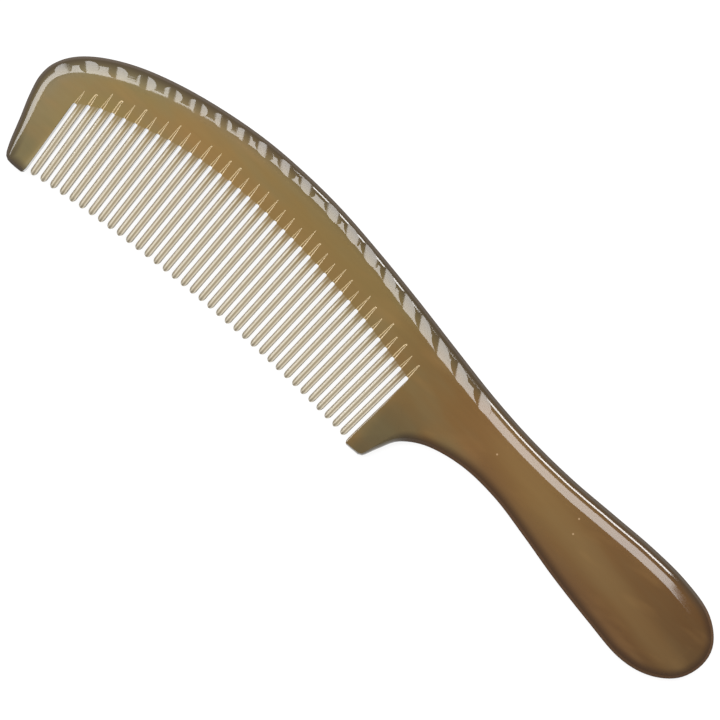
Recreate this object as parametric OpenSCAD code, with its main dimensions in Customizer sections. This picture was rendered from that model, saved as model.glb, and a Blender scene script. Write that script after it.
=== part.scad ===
// Hair comb cut from one flat piece of horn, with a row of fine teeth and a rounded handle.
// It lies flat: +X runs along its length towards the handle's end, +Y towards the back, +Z up.
// The origin is at the bottom centre of its bounding box. Lengths are in mm.

/* [Comb] */
// Overall length
comb_l = 190; // [175:1:205]
// Overall width, from the top of the back to the ends of the guards
comb_w = 39.1; // [37:0.1:42]
// Thickness of the head and the handle
comb_t = 5; // [4.4:0.1:6]
// How far the rounding of the back reaches in over the faces
rim_w = 4.5; // [3.5:0.1:5]

/* [Teeth] */
// Number of teeth between the two guards
teeth_n = 36; // [26:1:38]
// Width of the gap between two teeth
gap_w = 0.9; // [0.85:0.05:1.2]
// Thickness of the teeth near their tips
tip_t = 2.6; // [2.2:0.1:3.4]
// Length over which the teeth thin out towards the tips
thin_l = 17; // [14:0.5:18]
// Length of the pointed saw run-out above each gap
run_l = 3.7; // [2.5:0.1:4.5]
// Depth of the run-out where it meets the gap
run_d = 1.2; // [1:0.05:1.4]

// How much each face of the guards is thinned at their ends
guard_d = 0.7; // [0.3:0.05:0.9]

/* [Scoops] */
// Radius of the round file that cut the scoops
scoop_r = 7; // [5.5:0.1:8]
// Depth of each scoop
scoop_d = 0.36; // [0.28:0.02:0.5]
// How far the middle of each scoop lies in from the edge of the back
scoop_in = 2.8; // [2.5:0.1:3.2]

/* [Hidden] */

// Outline of the blank, clockwise from the left guard: x, y, width of its rounding
edge = [
    [9.9, 0, 0.9],
    [7.3, 0, 0.9],
    [5.5, 0.6, 1],
    [4.2, 3.4, 1.4],
    [2.6, 8.7, 2],
    [0.9, 14, 2.5],
    [0, 18.6, 2.8],
    [0.7, 22.6, 3.3],
    [3.4, 26.6, 3.8],
    [8.3, 30.3, 4.3],
    [15.6, 33.7, 4.5],
    [24.7, 36.3, 4.5],
    [35, 38.1, 4.5],
    [46, 39.1, 4.5],
    [57, 39, 4.5],
    [68, 38.1, 4.5],
    [80, 36.2, 4.5],
    [93, 33.7, 4.5],
    [106, 30.9, 4.5],
    [119, 28.2, 4.5],
    [131, 26.4, 4.5],
    [143, 25.5, 4.5],
    [155, 25.4, 4.5],
    [166, 25.3, 4.5],
    [175.5, 24.5, 4.5],
    [183.7, 22.4, 4.5],
    [188.8, 18.1, 4.5],
    [190, 12.9, 4.5],
    [187.8, 7.4, 4.5],
    [182.3, 3.7, 4.3],
    [175, 2.6, 4.1],
    [165, 4.3, 4],
    [153.5, 6.7, 4],
    [143, 9.4, 4],
    [133, 11.7, 3.9],
    [123.5, 12.4, 3.5],
    [115, 11, 3],
    [109.5, 7.9, 2.2],
    [106.9, 3.7, 1.5],
    [105.2, 0.4, 1],
    [103.4, 0, 0.9],
    [101.6, 0, 0.9]
];
// Line of the upper ends of the gaps: x, y
roots = [
    [7.4, 16.9],
    [9.3, 18.6],
    [14.5, 21.4],
    [22, 23.6],
    [31, 25.8],
    [41, 27.1],
    [53, 27.3],
    [66, 26.3],
    [78, 24.7],
    [88, 23],
    [96, 21.1],
    [104, 19.1]
];
// Places of the scoops along the edge of the back
scoops = [
    1.4, 5.9, 11.5, 17.7, 23.9, 29.8, 35.9, 41.5, 47.1, 53.4,
    59.3, 67.3, 73.5, 79.3, 85.8, 92.3, 97.9, 104, 110.3, 118
];
// The gaps fan out from a point far below the comb
fan = [48.1, -526.6];
fan_a0 = -4.011;
fan_a1 = 5.623;
// how far the middle gaps lean beyond an even fan, in degrees
fan_bend = 0.04;
// The tips of the teeth lie on an arc
tip_mid = [55.6, 3.5];
tip_r = 380;
plan_l = 190;
plan_w = 39.1;
steps = 3;
arc_n = 4;

// Smooth curve through four points, between the second and the third
function curve(a, b, c, d, t) = 0.5 * (2 * b + (c - a) * t
    + (2 * a - 5 * b + 4 * c - d) * t * t + (3 * b - a - 3 * c + d) * t * t * t);
function ends(list, i) = let (n = len(list) - 1)
    i < 0 ? 2 * list[0] - list[1] : i > n ? 2 * list[n] - list[n - 1] : list[i];
function smooth(list, steps) = [for (i = [0:len(list) - 2]) for (s = [0:steps - 1])
    curve(ends(list, i - 1), list[i], list[i + 1], ends(list, i + 2), s / steps),
    list[len(list) - 1]];
// Points of the outline, twice as many as a ring of the blank has
rim = let (list = smooth(edge, 2 * steps))
    concat(list, [(list[0] + list[len(list) - 1]) / 2]);
root_line = smooth(roots, 2);
rim_n = len(rim);
function rim_at(i) = rim[(i + rim_n) % rim_n];
function flat(p) = [p[0], p[1]];
function inward(i) = let (d = flat(rim_at(i + 1)) - flat(rim_at(i - 1)))
    [d[1], -d[0]] / norm(d);

// Gap angles, points on a gap's line, and points at a gap's wall
function gap_a(i) = let (t = i / teeth_n)
    fan_a0 + (fan_a1 - fan_a0) * t + fan_bend * 4 * t * (1 - t);
function on_gap(i, r, off) = [
    fan[0] + r * sin(gap_a(i)) + off * cos(gap_a(i)),
    fan[1] + r * cos(gap_a(i)) - off * sin(gap_a(i))
];
function reach(i, y) = (y - fan[1]) / cos(gap_a(i));
function wall(i, side, y) = on_gap(i, reach(i, y), side * gap_w / 2);
function root_reach(i) = reach(i, lookup(on_gap(i, reach(i, 24), 0)[0], root_line));
function tip_y(x) = tip_mid[1] - pow(x - tip_mid[0], 2) / (2 * tip_r);
function tip_reach(i) = reach(i, tip_y(on_gap(i, reach(i, 3), 0)[0]));

// Edge of the back as a table, and the direction along it
back = [for (i = [12 * steps:52 * steps]) flat(rim[i])];
function back_at(x) = [x, lookup(x, back)];
function along(x) = let (d = back_at(x + 0.5) - back_at(x - 0.5)) d / norm(d);

// Rings of points, each turned half a step from the next, with triangles between them
module blank() {
    ring_n = 2 * arc_n + 1;
    n = rim_n / 2;
    points = [for (k = [0:ring_n - 1]) for (m = [0:n - 1])
        let (a = -90 + 90 * k / arc_n, i = 2 * m + k % 2, w = rim_at(i)[2] * rim_w / 4.5)
        let (p = flat(rim_at(i)) + inward(i) * w * (1 - cos(a)))
        [p[0], p[1], comb_t / 2 * (1 + sin(a))]];
    sides = [for (k = [0:ring_n - 2]) for (m = [0:n - 1])
        let (j = (m + 1) % n, a = k * n, b = (k + 1) * n)
        each k % 2 == 0 ? [[a + m, a + j, b + m], [a + j, b + j, b + m]]
            : [[a + m, a + j, b + j], [a + m, b + j, b + m]]];
    low = [for (m = [n - 1:-1:0]) m];
    top = [for (m = [0:n - 1]) (ring_n - 1) * n + m];
    polyhedron(points = points, faces = concat([low, top], sides), convexity = 10);
}

// Strip between the two guards, flared at the guards' inner corners
module strip() {
    left = [[32, 0], [1.4, 0], [0.8, -0.1], [0.4, -0.3], [0.1, -0.7], [-0.05, -1.2], [-3, -1.2]];
    polygon(concat(
        [for (p = left) wall(0, -1, p[0]) + [p[1], 0]],
        [for (i = [len(left) - 1:-1:0]) wall(teeth_n, 1, left[i][0]) - [left[i][1], 0]]
    ));
}

// One tooth in plan, with its rounded tip
module tooth(i) {
    c = i + 0.5;
    half = reach(c, 10) * tan((gap_a(i + 1) - gap_a(i)) / 2) - gap_w / 2;
    low = tip_reach(c);
    high = root_reach(c) + 2;
    polygon(concat(
        [on_gap(c, high, -half), on_gap(c, high, half)],
        [for (a = [0:30:180]) on_gap(c, low + 1.1 * (1 - sin(a)), (half - 0.04) * cos(a))]
    ));
}

module gaps() {
    translate([0, 0, -1])
        linear_extrude(height = comb_t + 2)
            offset(r = 0.3, $fn = 8)
                offset(delta = -0.3)
                    difference() {
                        intersection() {
                            polygon(concat(root_line, [[104, -3], [7.4, -3]]));
                            strip();
                        }
                        for (i = [0:teeth_n - 1]) tooth(i);
                    }
}

// Thins the teeth on the upper face, down to their rounded ends
module thin_teeth() {
    h = tip_t / 2;
    m = comb_t / 2;
    intersection() {
        translate([tip_mid[0], tip_mid[1] - tip_r, 0])
            rotate([0, 0, 80.5])
                rotate_extrude(angle = 19, $fn = 560)
                    polygon([
                        [tip_r - 3, m + h * 0.3],
                        [tip_r - 0.05, m + h * 0.3],
                        [tip_r + 0.25, m + h * 0.68],
                        [tip_r + 0.8, m + h * 0.9],
                        [tip_r + 1.7, m + h],
                        [tip_r + thin_l, comb_t],
                        [tip_r + thin_l, comb_t + 1],
                        [tip_r - 3, comb_t + 1]
                    ]);
        linear_extrude(height = comb_t + 2)
            polygon([
                wall(0, 0, 22), wall(0, 0, -4), wall(teeth_n, 0, -4), wall(teeth_n, 0, 22),
                wall(teeth_n, 0, 30), wall(0, 0, 30)
            ]);
    }
}

// Groove along a gap on the upper face: it breaks the edges and runs out to a point
module groove(i) {
    high = root_reach(i);
    low = tip_reach(i) - 1.5;
    above = comb_t + 0.6;
    // distance from the fan's point, height of the groove's bottom, slant of its sides
    stages = [
        [high + run_l, comb_t, 0.52],
        [high - 0.2, comb_t - run_d, 0.52],
        [low, comb_t / 2 + tip_t / 2 - run_d + 0.15, 0.8]
    ];
    points = [for (b = stages) let (w = b[2] * (above - b[1])) each [
        concat(on_gap(i, b[0], 0), b[1]),
        concat(on_gap(i, b[0], -w), above),
        concat(on_gap(i, b[0], w), above)
    ]];
    hull() polyhedron(points = points, faces = [
        [0, 1, 2], [8, 7, 6],
        [0, 3, 4], [0, 4, 1], [1, 4, 5], [1, 5, 2], [2, 5, 3], [2, 3, 0],
        [3, 6, 7], [3, 7, 4], [4, 7, 8], [4, 8, 5], [5, 8, 6], [5, 6, 3]
    ]);
}

// Round hollow cut into the shoulder of the back on the upper face
module scoop(x) {
    d = along(x);
    c = 1 - scoop_in / rim_w;
    lean = atan(comb_t / 2 / rim_w * c / sqrt(1 - c * c));
    lift = scoop_r - scoop_d;
    p = back_at(x) + [d[1], -d[0]] * (scoop_in - lift * sin(lean));
    z = comb_t / 2 * (1 + sqrt(1 - c * c)) + lift * cos(lean);
    translate([p[0], p[1], z])
        rotate([0, 0, atan2(d[1], d[0])]) rotate([0, 90, 0]) sphere(r = scoop_r, $fn = 36);
}

// Slice off the upper face, from the line p1 p2 down to the depths d1 and d2 at b1 and b2
module slice(p1, p2, b1, b2, d1, d2) {
    h = comb_t + 1;
    hull() polyhedron(points = [
        concat(p1, comb_t), concat(p2, comb_t), concat(b2, comb_t - d2), concat(b1, comb_t - d1),
        concat(p1, h), concat(p2, h), concat(b2, h), concat(b1, h)
    ], faces = [
        [0, 3, 2, 1], [4, 5, 6, 7], [0, 1, 5, 4], [1, 2, 6, 5], [2, 3, 7, 6], [3, 0, 4, 7]
    ]);
}

// Thins each guard a little towards its end
module thin_guards() {
    slice([-1, 18.4], wall(0, -1, 18.4) + [0.3, 0], wall(0, -1, -2) + [0.3, 0], [-1, -2],
        guard_d, guard_d);
    slice(wall(teeth_n, 1, 19) - [0.3, 0], [109, 6], [107, -2],
        wall(teeth_n, 1, -2) - [0.3, 0], guard_d * 0.53, guard_d);
}

module face_cuts() {
    thin_teeth();
    for (i = [0:teeth_n]) groove(i);
    for (x = scoops) scoop(x);
    thin_guards();
}

module comb() {
    color("#8b7448")
        translate([-comb_l / 2, -comb_w / 2, 0])
            scale([comb_l / plan_l, comb_w / plan_w, 1])
                difference() {
                    blank();
                    gaps();
                    face_cuts();
                    translate([0, 0, comb_t]) mirror([0, 0, 1]) face_cuts();
                }
}

comb();
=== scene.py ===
"""Horn comb with a handle: the dressed model in the CAD part's frame, with its floor, light and camera."""

import logging
import math
from collections.abc import Callable
from dataclasses import dataclass
from enum import Enum

import bmesh
import bpy
from mathutils import Matrix, Vector, kdtree, noise

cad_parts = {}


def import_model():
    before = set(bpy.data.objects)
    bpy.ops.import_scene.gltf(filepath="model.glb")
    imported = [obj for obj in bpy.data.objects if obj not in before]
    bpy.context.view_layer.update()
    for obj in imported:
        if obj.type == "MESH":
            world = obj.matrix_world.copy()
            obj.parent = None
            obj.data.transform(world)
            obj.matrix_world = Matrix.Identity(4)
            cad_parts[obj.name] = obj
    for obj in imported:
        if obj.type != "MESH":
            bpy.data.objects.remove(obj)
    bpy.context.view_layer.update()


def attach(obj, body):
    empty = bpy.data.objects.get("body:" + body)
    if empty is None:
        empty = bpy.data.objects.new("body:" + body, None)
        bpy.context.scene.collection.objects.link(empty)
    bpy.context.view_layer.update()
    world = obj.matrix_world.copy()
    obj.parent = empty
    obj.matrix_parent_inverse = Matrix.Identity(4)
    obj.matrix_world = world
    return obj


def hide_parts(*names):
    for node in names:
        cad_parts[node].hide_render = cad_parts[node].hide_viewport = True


logging.basicConfig(level=logging.INFO, format="%(name)s: %(message)s")
log = logging.getLogger("comb")

MM = 0.001

# linear red, green, blue and alpha
Colour = tuple[float, float, float, float]


class Side(Enum):
    """The two faces of the comb."""

    UPPER = 1
    LOWER = -1

    def point(self, at: Vector, middle: float, rise: float) -> Vector:
        """Return the point over a place in plan that rises from the middle plane towards this face."""
        return Vector((at.x, at.y, middle + self.value * rise))


class Wall(Enum):
    """The two walls of a gap between teeth."""

    LEFT = -1
    RIGHT = 1


@dataclass(frozen=True)
class Post:
    """One point of an outline in plan, in mm, with the direction and measures that its rings follow."""

    place: Vector
    normal: Vector
    # width of the rounding
    rim: float
    # of the plate: reach of its inner rings; of the gaps: height of the rounding
    reach: float
    # half the thickness of the horn there, where it is thinned
    top: float = 0.0
    # height of the upright wall below the rounding
    wall: float = 0.0


@dataclass(frozen=True)
class Flute:
    """The hollow that a round file leaves across the rounded shoulder, in mm."""

    place: Vector
    inward: Vector
    across: Vector
    bottom: float
    slope: float
    radius: float

    def point(self, along: float, side: float) -> Vector:
        """Return a point of the hollow, by the distances along its axis inwards and across it."""
        axis = Vector((self.across.y, -self.across.x))
        off = axis * along + self.across * side
        bowl = side * side / (2 * self.radius)
        at = self.place + off
        return Vector((at.x, at.y, self.bottom + off.dot(self.inward) * self.slope + bowl))


def smoothstep(low: float, high: float, value: float) -> float:
    """Ramp a value smoothly from 0 to 1.

    Args:
        low: Value at which the ramp starts.
        high: Value at which the ramp ends.
        value: The value to place on the ramp.

    Returns:
        The ramp's height at the value, from 0 to 1.
    """
    t = min(max((value - low) / (high - low), 0.0), 1.0)
    return t * t * (3.0 - 2.0 * t)


def stray(index: int, stride: float, row: float) -> float:
    """Return how far the maker's hand strayed at one of many like cuts.

    Args:
        index: Number of the cut.
        stride: How unlike neighbouring cuts are.
        row: Sets one kind of cut apart from another.

    Returns:
        A number from about -0.5 to 0.5.
    """
    return noise.noise(Vector((index * stride, row, 0.0)))


def spline_point(rows: tuple, index: int, t: float) -> tuple:
    """Find a point of the smooth curve through a table's rows.

    Args:
        rows: Rows of numbers; the curve passes through each of them.
        index: Row at which the span starts.
        t: Share of the span, from 0 to 1.

    Returns:
        A row of numbers on the curve.
    """
    last = len(rows) - 1

    def row(i: int) -> tuple:
        """Return a row, or its reflection past either end."""
        if i < 0:
            return tuple(2 * a - b for a, b in zip(rows[0], rows[1]))
        if i > last:
            return tuple(2 * a - b for a, b in zip(rows[last], rows[last - 1]))
        return rows[i]

    a, b, c, d = (row(index + k) for k in (-1, 0, 1, 2))
    return tuple(
        0.5
        * (
            2 * q
            + (r - p) * t
            + (2 * p - 5 * q + 4 * r - s) * t * t
            + (3 * q - p - 3 * r + s) * t**3
        )
        for p, q, r, s in zip(a, b, c, d)
    )


def span_at(rows: list | tuple, x: float) -> tuple[tuple, tuple, float]:
    """Find the span of a table in which its first column reaches a value.

    Args:
        rows: Rows of numbers, in the order of their first column.
        x: The value. Past either end of the table, the end's own value is taken.

    Returns:
        The rows before and after the value, and its share of the way between them.
    """
    x = min(max(x, rows[0][0]), rows[-1][0])
    a, b = next(pair for pair in zip(rows, rows[1:]) if x <= pair[1][0])
    return a, b, (x - a[0]) / (b[0] - a[0])


def bevel_normal(before: Vector, here: Vector, after: Vector) -> Vector:
    """Find the direction to the right of a path at one of its corners.

    Args:
        before: The corner before it.
        here: The corner itself.
        after: The corner after it.

    Returns:
        A unit vector square to the path, on its right.
    """
    along = (here - before).normalized() + (after - here).normalized()
    return Vector((along.y, -along.x)).normalized()


def prism(bm: bmesh.types.BMesh, corners: list[Vector]) -> list[bmesh.types.BMVert]:
    """Add a face and a copy of it, joined by walls.

    Args:
        bm: The mesh that they are added to.
        corners: The face's corners.

    Returns:
        The corners of the copy, which still lies on the face.
    """
    face = bm.faces.new([bm.verts.new(corner) for corner in corners])
    made = bmesh.ops.extrude_face_region(bm, geom=[face], use_keep_orig=True)["geom"]
    return [g for g in made if isinstance(g, bmesh.types.BMVert)]


def show(name: str, data: bpy.types.ID) -> bpy.types.Object:
    """Put an object in the scene.

    Args:
        name: Name of the object.
        data: The mesh, light or camera that it shows.

    Returns:
        The object.
    """
    obj = bpy.data.objects.new(name, data)
    bpy.context.scene.collection.objects.link(obj)
    return obj


def show_mesh(name: str, bm: bmesh.types.BMesh, material: bpy.types.Material) -> bpy.types.Object:
    """Put an object with a mesh in the scene.

    Args:
        name: Name of the object and its mesh.
        bm: The mesh, which is freed.
        material: Material of its faces.

    Returns:
        The object.
    """
    mesh = bpy.data.meshes.new(name)
    bm.to_mesh(mesh)
    bm.free()
    mesh.materials.append(material)
    return show(name, mesh)


def ring_solid(
    posts: list[Post], middle: float, profile: Callable[[Post, int], tuple[float, float]], levels: int
) -> bmesh.types.BMesh:
    """Build a closed solid that grows ring by ring from one outline towards both faces.

    Args:
        posts: The outline's points in order.
        middle: Height of the outline, in mm.
        profile: Function of a post and a level that returns how far a ring lies from the outline, along
            the post's normal, and how high above or below it, in mm.
        levels: Number of rings towards each face.

    Returns:
        The solid, with its faces pointing outwards.
    """
    bm = bmesh.new()
    tag = bm.verts.layers.int.new("post")
    verts = []
    for i, post in enumerate(posts):
        vert = bm.verts.new((post.place.x, post.place.y, middle))
        vert[tag] = i
        verts.append(vert)
    first = [bm.edges.new(pair) for pair in zip(verts, verts[1:] + verts[:1])]
    for side in Side:
        edges = first
        for level in range(levels):
            made = bmesh.ops.extrude_edge_only(bm, edges=edges)["geom"]
            edges = [g for g in made if isinstance(g, bmesh.types.BMEdge)]
            for vert in {v for e in edges for v in e.verts}:
                post = posts[vert[tag]]
                inset, rise = profile(post, level)
                vert.co = side.point(post.place + post.normal * inset, middle, rise)
        bmesh.ops.edgeloop_fill(bm, edges=edges)
    bmesh.ops.recalc_face_normals(bm, faces=bm.faces)
    return bm


@dataclass
class Blank:
    """The plate of horn before the teeth are cut: a flat body with broad rounded edges."""

    length: float = 190.0
    width: float = 39.1
    thickness: float = 5.0
    # number of rings on the rounding, how they crowd at the edge, and the places of those inside it
    levels: int = 24
    crowding: float = 1.5
    inner: tuple = (0.25, 0.6, 1.0)
    # distance between the outline's points along the scoops and elsewhere, and the rows with scoops
    steps: tuple = (0.5, 0.9)
    fine_rows: tuple = (4, 19)
    # rows of the back, from the left shoulder to the handle's end
    back_rows: tuple = (6, 26)
    # x, y, width of the rounding, reach of the inner rings, height of the upright wall below the rounding
    edge: tuple = (
        (9.9, 0, 0.9, 1, 0),
        (7.3, 0, 0.9, 1, 0),
        (5.5, 0.6, 1, 1.1, 0.2),
        (4.2, 3.4, 1.5, 1.7, 0.8),
        (2.6, 8.7, 2.2, 2.6, 1.1),
        (0.9, 14, 2.6, 4, 1.1),
        (0, 18.6, 2.8, 5.6, 0.8),
        (0.7, 22.6, 3.3, 6.3, 0.55),
        (3.4, 26.6, 3.8, 6.3, 0.39),
        (8.3, 30.3, 4.3, 6.3, 0.11),
        (15.6, 33.7, 4.5, 6.3, 0),
        (24.7, 36.3, 4.4, 6.3, 0.06),
        (35, 38.1, 3.94, 6.3, 0.31),
        (46, 39.1, 3.5, 6.3, 0.55),
        (57, 39, 3.42, 6.3, 0.6),
        (68, 38.1, 3.42, 6.3, 0.6),
        (80, 36.2, 3.55, 6.3, 0.53),
        (93, 33.7, 4.15, 6.3, 0.19),
        (106, 30.9, 4.5, 6.3, 0),
        (119, 28.2, 4.5, 6.3, 0),
        (131, 26.4, 4.5, 6.3, 0),
        (143, 25.5, 4.5, 6.3, 0),
        (155, 25.4, 4.5, 6.3, 0),
        (166, 25.3, 4.5, 6.3, 0),
        (175.5, 24.5, 4.5, 6, 0),
        (183.7, 22.4, 4.5, 5.5, 0),
        (188.8, 18.1, 4.5, 5.2, 0),
        (190, 12.9, 4.5, 5.2, 0),
        (187.8, 7.4, 4.5, 5.2, 0),
        (182.3, 3.7, 4.3, 5.2, 0),
        (175, 2.6, 4.1, 5, 0),
        (165, 4.3, 4, 4.8, 0),
        (153.5, 6.7, 4, 4.7, 0),
        (143, 9.4, 4, 4.6, 0),
        (133, 11.7, 3.9, 4.5, 0),
        (123.5, 12.4, 3.5, 4.1, 0),
        (115, 11, 3, 3.4, 0),
        (109.5, 7.9, 2.2, 2.5, 0),
        (106.9, 3.7, 1.5, 1.7, 0),
        (105.2, 0.4, 1, 1.1, 0),
        (103.4, 0, 0.9, 1, 0),
        (101.6, 0, 0.9, 1, 0),
    )
    # places of the scoops along the edge of the back
    scoops: tuple = (
        1.4, 5.9, 11.5, 17.7, 23.9, 29.8, 35.9, 41.5, 47.1, 53.4,
        59.3, 67.3, 73.5, 79.3, 85.8, 92.3, 97.9, 104.0, 110.3, 118.0,
    )  # fmt: skip
    # radius, depth and slope in degrees
    scoop: tuple = (16.0, 0.16, 14.5)
    # direction in which the file was held, from square to the comb's length, and its least and most slant
    scoop_aim: float = 28.0
    scoop_slant: tuple = (6.0, 45.0)
    # how far the slant in degrees and the share of the depth stray
    scoop_stray: tuple = (4.0, 0.2)
    # travel of the file outwards and inwards, and the width and number of the strips on half its round face
    stroke: tuple = (-7.0, 6.0)
    strip: float = 0.3
    strips: int = 9

    def posts(self) -> list[Post]:
        """Return the outline's points, close together where the scoops are."""
        rows = []
        fine, coarse = self.steps
        for i in range(len(self.edge) - 1):
            a, b = Vector(self.edge[i][:2]), Vector(self.edge[i + 1][:2])
            step = fine if self.fine_rows[0] <= i <= self.fine_rows[1] else coarse
            count = max(int((b - a).length / step), 2)
            rows += [spline_point(self.edge, i, k / count) for k in range(count)]
        rows.append(self.edge[-1])
        # straight across the foot of the plate, which the gaps cut away
        last, first, across = rows[-1], rows[0], 12
        rows += [
            tuple(a + (b - a) * k / across for a, b in zip(last, first))
            for k in range(1, across)
        ]
        n = len(rows)
        flat = [Vector(r[:2]) for r in rows]
        return [
            Post(
                flat[i],
                bevel_normal(flat[i - 1], flat[i], flat[(i + 1) % n]),
                rim=rows[i][2],
                reach=rows[i][3],
                wall=max(rows[i][4], 0.0),
            )
            for i in range(n)
        ]

    def back_at(self, x: float) -> tuple[Vector, Vector, float, float]:
        """Find a place on the edge of the back.

        Args:
            x: Distance from the left end, in mm.

        Returns:
            The point on the edge, the direction along it to the right, and the rounding's width and
            wall there.
        """
        parts = 12
        table = [
            spline_point(self.edge, i, k / parts)
            for i in range(*self.back_rows)
            for k in range(parts)
        ]
        a, b, t = span_at(table, x)
        here = [p + (q - p) * t for p, q in zip(a, b)]
        along = Vector((b[0] - a[0], b[1] - a[1])).normalized()
        return Vector(here[:2]), along, here[2], max(here[4], 0.0)

    def flutes(self) -> list[Flute]:
        """Return the hollows of the upper face, each cut a little differently by hand."""
        half = self.thickness / 2
        radius, depth, angle = self.scoop
        slope = math.tan(math.radians(angle))
        least, most = self.scoop_slant
        turns, deeper = self.scoop_stray
        made = []
        for k, x in enumerate(self.scoops):
            point, along, wide, wall = self.back_at(x)
            # the file lies flat against the rounding where that has the file's slope
            turn = math.atan((half - wall) / (wide * slope))
            inset, rise = wide * (1 - math.cos(turn)), wall + (half - wall) * math.sin(turn)
            inward = Vector((along.y, -along.x))
            lean = math.degrees(math.atan2(inward.x, -inward.y))
            vary = stray(k, 2.3, 0.7)
            slant = math.radians(min(max(self.scoop_aim + turns * vary - lean, least), most))
            made.append(
                Flute(
                    place=point + inward * inset,
                    inward=inward,
                    across=along * math.cos(slant) - inward * math.sin(slant),
                    bottom=half + rise - depth * (1 + deeper * vary),
                    slope=slope,
                    radius=radius,
                )
            )
        return made

    def files(self, first: int) -> bmesh.types.BMesh:
        """Build the solids that cut every second hollow, on both faces.

        Args:
            first: Number of the first hollow, 0 or 1.

        Returns:
            The solids, none of which touch each other.
        """
        half, clear = self.thickness / 2, self.thickness + 3
        out, far_in = self.stroke
        bm = bmesh.new()
        for flute in self.flutes()[first::2]:
            near = [flute.point(out, self.strip * k) for k in range(-self.strips, self.strips + 1)]
            near += [Vector((p.x, p.y, clear)) for p in (near[-1], near[0])]
            far = flute.point(far_in, 0.0) - flute.point(out, 0.0)
            for side in Side:
                end = prism(bm, [side.point(p, half, p.z - half) for p in near])
                bmesh.ops.translate(bm, verts=end, vec=(far.x, far.y, side.value * far.z))
        bmesh.ops.triangulate(bm, faces=[f for f in bm.faces if len(f.verts) > 4])
        bmesh.ops.recalc_face_normals(bm, faces=bm.faces)
        return bm

    def solid(self) -> bmesh.types.BMesh:
        """Build the plate with its rounded edges."""
        half = self.thickness / 2

        def profile(post: Post, level: int) -> tuple[float, float]:
            """Return a ring's distance inwards and its height from the middle plane."""
            if level >= self.levels:
                return post.rim + (post.reach - post.rim) * self.inner[level - self.levels], half
            share = ((level + 1) / self.levels) ** self.crowding
            rise = post.wall + (half - post.wall) * math.sqrt(1 - (1 - share) ** 2)
            return post.rim * share, rise

        return ring_solid(self.posts(), half, profile, self.levels + len(self.inner))


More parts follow.
